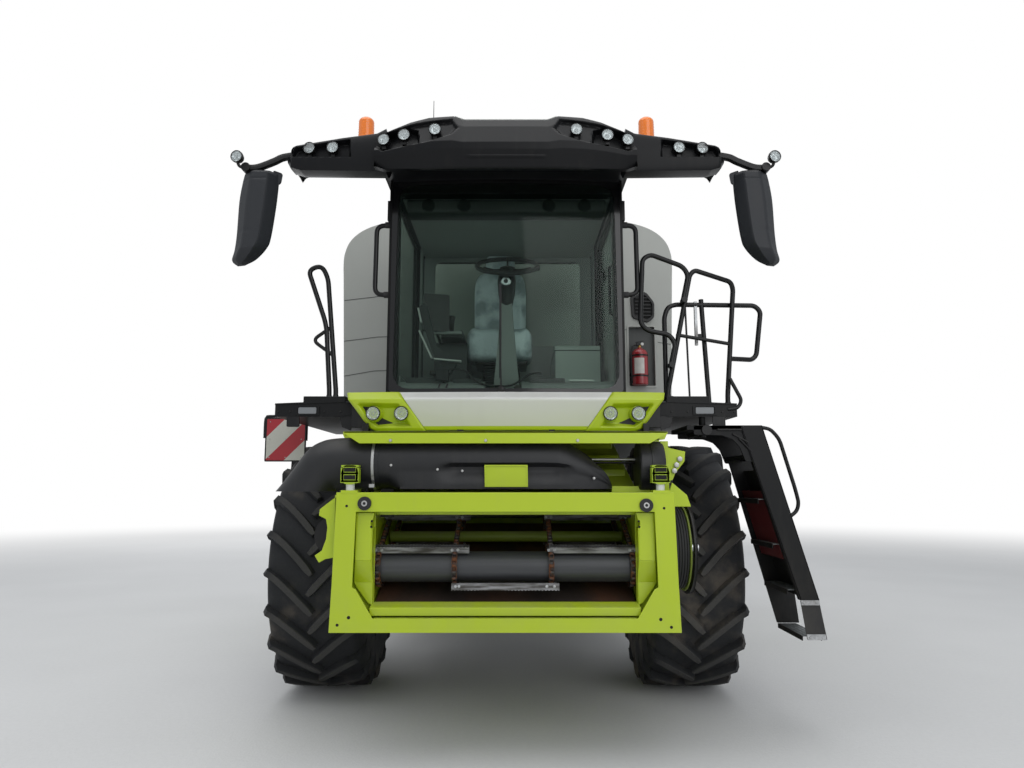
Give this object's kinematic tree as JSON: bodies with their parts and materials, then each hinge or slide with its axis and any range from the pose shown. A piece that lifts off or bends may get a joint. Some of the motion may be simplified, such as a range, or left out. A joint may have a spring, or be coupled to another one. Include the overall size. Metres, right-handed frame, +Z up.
{
  "type": "combine harvester",
  "caption": "Self-propelled combine harvester without a header: wide cab, feeder house, grain tank, swinging unloading tube, hinged side panels and rear straw chopper.",
  "frame": {"origin": "on the ground under the middle of the machine's overall box; its centre line runs along x = -0.1 m and its front axle is at y = -2.5 m", "axes": "+Z up, +Y towards the rear, +X towards the driver's left side, where the ladder and the unloading tube are"},
  "size_m": [3.9332, 8.845, 4.525],
  "materials": {
    "body_grey": "semi-gloss",
    "dark_metal": "satin",
    "black_plastic": "satin",
    "lime_paint": "gloss",
    "white_paint": "gloss",
    "tyre_rubber": "matt",
    "rim_paint": "gloss",
    "tinted_glass": "polished",
    "mirror_face": "polished",
    "lamp_glass": "polished",
    "orange_lens": "polished",
    "red_paint": "gloss",
    "red_lens": "polished",
    "seat_cover": "matt",
    "steel_bright": "polished",
    "steel_zinc": "worn",
    "tank_steel": "satin"
  },
  "bodies": {
    "chassis": {"threshing_body": "body_grey", "chassis_rails": "dark_metal", "front_axle": "dark_metal", "side_frames": "body_grey", "engine_block": "dark_metal", "engine_hood": "dark_metal", "rear_hood": "white_paint", "chopper_housing": "dark_metal", "grain_tank": "tank_steel", "tank_auger": "steel_zinc", "tank_front_panel": "white_paint", "extinguisher": "red_paint", "cab_shell": "dark_metal", "cab_glass": "tinted_glass", "driver_seat": "seat_cover", "cab_console": "black_plastic", "steering_column": "black_plastic", "cab_roof": "black_plastic", "work_lamps": "lamp_glass", "beacons": "orange_lens", "mirror_housings": "black_plastic", "mirror_glass": "mirror_face", "fascia_centre": "white_paint", "fascia_corners": "lime_paint", "platforms": "dark_metal", "handrails": "dark_metal", "warning_boards": "red_paint", "rear_ladder": "dark_metal", "tail_lamps": "red_lens", "rear_axle": "dark_metal", "hitch": "dark_metal"},
    "feeder": {"feeder_house": "lime_paint", "feeder_frame": "lime_paint", "feeder_conveyor": "steel_zinc", "dust_duct": "black_plastic", "feeder_drive": "dark_metal"},
    "lift_barrels": {"lift_barrels": "dark_metal"},
    "lift_rods": {"lift_rods": "steel_bright"},
    "front_wheel_left": {"front_tyre_left": "tyre_rubber", "front_rim_left": "rim_paint"},
    "front_wheel_right": {"front_tyre_right": "tyre_rubber", "front_rim_right": "rim_paint"},
    "rear_wheel_left": {"rear_tyre_left": "tyre_rubber", "rear_rim_left": "rim_paint"},
    "rear_wheel_right": {"rear_tyre_right": "tyre_rubber", "rear_rim_right": "rim_paint"},
    "knuckle_left": {"knuckle_left": "dark_metal"},
    "knuckle_right": {"knuckle_right": "dark_metal"},
    "tie_rod": {"tie_rod": "dark_metal"},
    "cab_door": {"door_frame": "dark_metal", "door_glass": "tinted_glass"},
    "ladder": {"ladder": "dark_metal"},
    "unloading_tube": {"unloading_tube": "white_paint"},
    "tank_lid_left": {"tank_lid_left": "dark_metal"},
    "tank_lid_right": {"tank_lid_right": "dark_metal"},
    "side_door_left": {"side_door_left": "white_paint"},
    "side_door_right": {"side_door_right": "white_paint"},
    "spreader_left": {"spreader_left": "steel_zinc"},
    "spreader_right": {"spreader_right": "steel_zinc"}
  },
  "joints": [
    {"name": "front_left_spin", "type": "hinge", "parent": "chassis", "child": "front_wheel_left", "pos_m": [1.212, -2.5, 0.965], "axis": [1, 0, 0], "continuous": true},
    {"name": "front_right_spin", "type": "hinge", "parent": "chassis", "child": "front_wheel_right", "pos_m": [-1.412, -2.5, 0.965], "axis": [1, 0, 0], "continuous": true},
    {"name": "steer_left", "type": "hinge", "parent": "chassis", "child": "knuckle_left", "pos_m": [0.96, 1.4, 0.73], "axis": [0, 0, 1], "range_deg": [-38, 38]},
    {"name": "steer_right", "type": "hinge", "parent": "chassis", "child": "knuckle_right", "pos_m": [-1.16, 1.4, 0.73], "axis": [0, 0, 1], "range_deg": [-38, 38]},
    {"name": "tie_rod_turn", "type": "hinge", "parent": "knuckle_left", "child": "tie_rod", "pos_m": [0.96, 1.66, 0.85], "axis": [0, 0, 1], "range_deg": [-38, 38]},
    {"name": "rear_left_spin", "type": "hinge", "parent": "knuckle_left", "child": "rear_wheel_left", "pos_m": [1.3, 1.4, 0.73], "axis": [1, 0, 0], "continuous": true},
    {"name": "rear_right_spin", "type": "hinge", "parent": "knuckle_right", "child": "rear_wheel_right", "pos_m": [-1.5, 1.4, 0.73], "axis": [1, 0, 0], "continuous": true},
    {"name": "feeder_lift", "type": "hinge", "parent": "chassis", "child": "feeder", "pos_m": [-0.1, -2.65, 1.75], "axis": [1, 0, 0], "range_deg": [0, 16]},
    {"name": "lift_barrel_turn", "type": "hinge", "parent": "chassis", "child": "lift_barrels", "pos_m": [-0.1, -2.56, 0.69], "axis": [1, 0, 0], "range_deg": [-1, 17.01]},
    {"name": "lift_rod_slide", "type": "slide", "parent": "lift_barrels", "child": "lift_rods", "axis": [0, -0.9985, 0.0542], "range_m": [-0.2981, 0.002]},
    {"name": "cab_door_swing", "type": "hinge", "parent": "chassis", "child": "cab_door", "pos_m": [0.726, -2.764, 2.9], "axis": [0, 0, 1], "range_deg": [0, 80]},
    {"name": "ladder_swing", "type": "hinge", "parent": "chassis", "child": "ladder", "pos_m": [1.23, -3.835, 1.95], "axis": [0, 0, -1], "range_deg": [0, 90]},
    {"name": "tube_swing", "type": "hinge", "parent": "chassis", "child": "unloading_tube", "pos_m": [1.202, -1.72, 3.05], "axis": [0, 0, -1], "range_deg": [0, 100]},
    {"name": "lid_left_turn", "type": "hinge", "parent": "chassis", "child": "tank_lid_left", "pos_m": [1.04, -0.8, 4.024], "axis": [0, 1, 0], "range_deg": [0, 110]},
    {"name": "lid_right_turn", "type": "hinge", "parent": "chassis", "child": "tank_lid_right", "pos_m": [-1.24, -0.8, 4.024], "axis": [0, -1, 0], "range_deg": [0, 110]},
    {"name": "side_door_left_turn", "type": "hinge", "parent": "chassis", "child": "side_door_left", "pos_m": [1.38, 0.7, 3.01], "axis": [0, -1, 0], "range_deg": [0, 80]},
    {"name": "side_door_right_turn", "type": "hinge", "parent": "chassis", "child": "side_door_right", "pos_m": [-1.58, 0.7, 3.01], "axis": [0, 1, 0], "range_deg": [0, 80]},
    {"name": "spreader_left_spin", "type": "hinge", "parent": "chassis", "child": "spreader_left", "pos_m": [0.27, 3.68, 0.9], "axis": [0, 0, 1], "continuous": true},
    {"name": "spreader_right_spin", "type": "hinge", "parent": "chassis", "child": "spreader_right", "pos_m": [-0.47, 3.68, 0.9], "axis": [0, 0, 1], "continuous": true}
  ],
  "couplings": [
    {"joint": "steer_right", "follows": "steer_left", "ratio": 1},
    {"joint": "tie_rod_turn", "follows": "steer_left", "ratio": -1},
    {"joint": "lift_barrel_turn", "follows": "feeder_lift", "ratio": 1.0008},
    {"joint": "lift_rod_slide", "follows": "feeder_lift", "m_per_rad": -1.0604}
  ]
}
